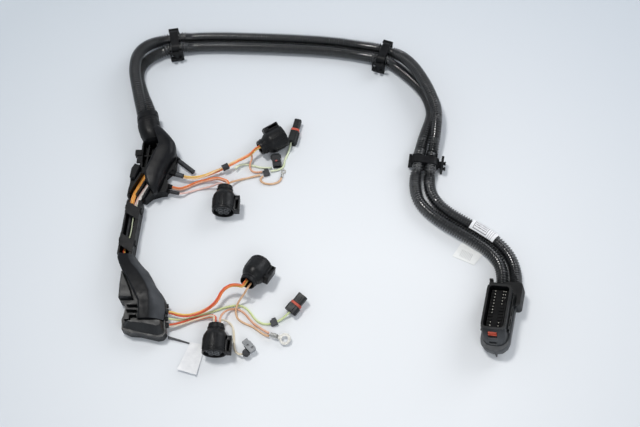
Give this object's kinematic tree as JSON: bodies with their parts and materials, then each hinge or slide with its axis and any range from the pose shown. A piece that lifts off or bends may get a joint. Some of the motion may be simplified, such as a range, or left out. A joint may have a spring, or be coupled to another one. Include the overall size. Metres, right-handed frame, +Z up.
{
  "type": "wiring harness",
  "caption": "Engine wiring harness: ribbed conduits with clips run from a multi-pin plug to moulded distribution covers whose wires end in injector plugs, sensor plugs and ring terminals",
  "frame": {"origin": "centre of the bounding box at bench height, z = 0 where the harness lies on the bench", "axes": "+Z up from the bench, +Y from the near edge to the far edge of the picture, +X to its right; the harness lies flat and the branch side is at -X"},
  "size_m": [0.4247, 0.4196, 0.0392],
  "materials": {
    "conduit_outer": "moulded, lightly dusty and scuffed",
    "conduit_clip_left": "moulded, lightly dusty and scuffed",
    "conduit_label": "printed white band, slightly scuffed",
    "conduit_tag": "translucent pale strap",
    "plug_backshell": "moulded, lightly dusty and scuffed",
    "plug_lock": "moulded, satin orange red",
    "upper_boot": "moulded, satin",
    "sensor_plug_upper_seal": "moulded, satin",
    "terminal_housing": "moulded, lightly dusty and scuffed",
    "terminal_boot": "moulded, satin",
    "ring_terminal_upper": "tinned, slightly dull",
    "sleeve_blank": "moulded, lightly dusty and scuffed",
    "sleeve_tape": "white cloth tape",
    "tag_tie": "thin strap",
    "white_tag": "soft white woven tape",
    "duct_wire_orange": "soft wire insulation, satin",
    "duct_wire_white": "soft wire insulation, satin",
    "duct_wire_green": "soft wire insulation, satin",
    "wire_upper_tan": "soft wire insulation, satin",
    "wire_upper_orange": "soft wire insulation, satin",
    "wire_upper_pink": "soft wire insulation, satin",
    "wire_upper_green": "soft wire insulation, satin",
    "wire_upper_pink_loop": "soft wire insulation, satin",
    "wire_upper_brown": "soft wire insulation, satin",
    "wire_upper_loop": "soft wire insulation, satin",
    "wire_upper_sensor": "soft wire insulation, satin",
    "wire_lower_c3": "soft wire insulation, satin",
    "wire_lower_c4": "soft wire insulation, satin",
    "wire_lower_pink": "soft wire insulation, satin",
    "wire_lower_tan": "soft wire insulation, satin",
    "wire_lower_sensor": "soft wire insulation, satin",
    "wire_lower_green": "soft wire insulation, satin",
    "wire_lower_terminal": "soft wire insulation, satin"
  },
  "bodies": {
    "root": {"conduit_outer": "conduit_outer", "conduit_inner": "conduit_outer", "conduit_clip_left": "conduit_clip_left", "conduit_clip_right": "conduit_clip_left", "conduit_clip_lower": "conduit_clip_left", "conduit_label": "conduit_label", "conduit_tag": "conduit_tag", "plug_backshell": "plug_backshell", "plug_housing": "conduit_clip_left", "plug_insert": "conduit_clip_left", "plug_lock": "plug_lock", "upper_base": "conduit_clip_left", "upper_cover": "conduit_clip_left", "upper_boot": "upper_boot", "duct_channel": "conduit_clip_left", "lower_base": "plug_backshell", "lower_cover": "conduit_clip_left", "injector_plug_1": "conduit_clip_left", "injector_plug_1_core": "conduit_clip_left", "injector_plug_2": "conduit_clip_left", "injector_plug_2_core": "conduit_clip_left", "injector_plug_3": "conduit_clip_left", "injector_plug_3_core": "conduit_clip_left", "injector_plug_4": "conduit_clip_left", "injector_plug_4_core": "conduit_clip_left", "sensor_plug_upper": "plug_backshell", "sensor_plug_upper_seal": "sensor_plug_upper_seal", "sensor_plug_lower": "plug_backshell", "sensor_plug_lower_seal": "sensor_plug_upper_seal", "flat_plug": "conduit_clip_left", "terminal_housing": "terminal_housing", "terminal_boot": "terminal_boot", "splice_clip_upper": "conduit_clip_left", "splice_clip_lower": "conduit_clip_left", "ring_terminal_upper": "ring_terminal_upper", "ring_terminal_lower": "ring_terminal_upper", "sleeve_blank": "sleeve_blank", "sleeve_grey": "plug_backshell", "sleeve_dark": "sleeve_blank", "sleeve_tape": "sleeve_tape", "tag_tie": "tag_tie", "white_tag": "white_tag", "duct_wire_orange": "duct_wire_orange", "duct_wire_white": "duct_wire_white", "duct_wire_green": "duct_wire_green", "wire_upper_tan": "wire_upper_tan", "wire_upper_orange": "wire_upper_orange", "wire_upper_pink": "wire_upper_pink", "wire_upper_green": "wire_upper_green", "wire_upper_pink_loop": "wire_upper_pink_loop", "wire_upper_brown": "wire_upper_brown", "wire_upper_loop": "wire_upper_loop", "wire_upper_sensor": "wire_upper_sensor", "wire_lower_c3": "wire_lower_c3", "wire_lower_c4": "wire_lower_c4", "wire_lower_pink": "wire_lower_pink", "wire_lower_tan": "wire_lower_tan", "wire_lower_sensor": "wire_lower_sensor", "wire_lower_green": "wire_lower_green", "wire_lower_terminal": "wire_lower_terminal"}
  },
  "joints": []
}
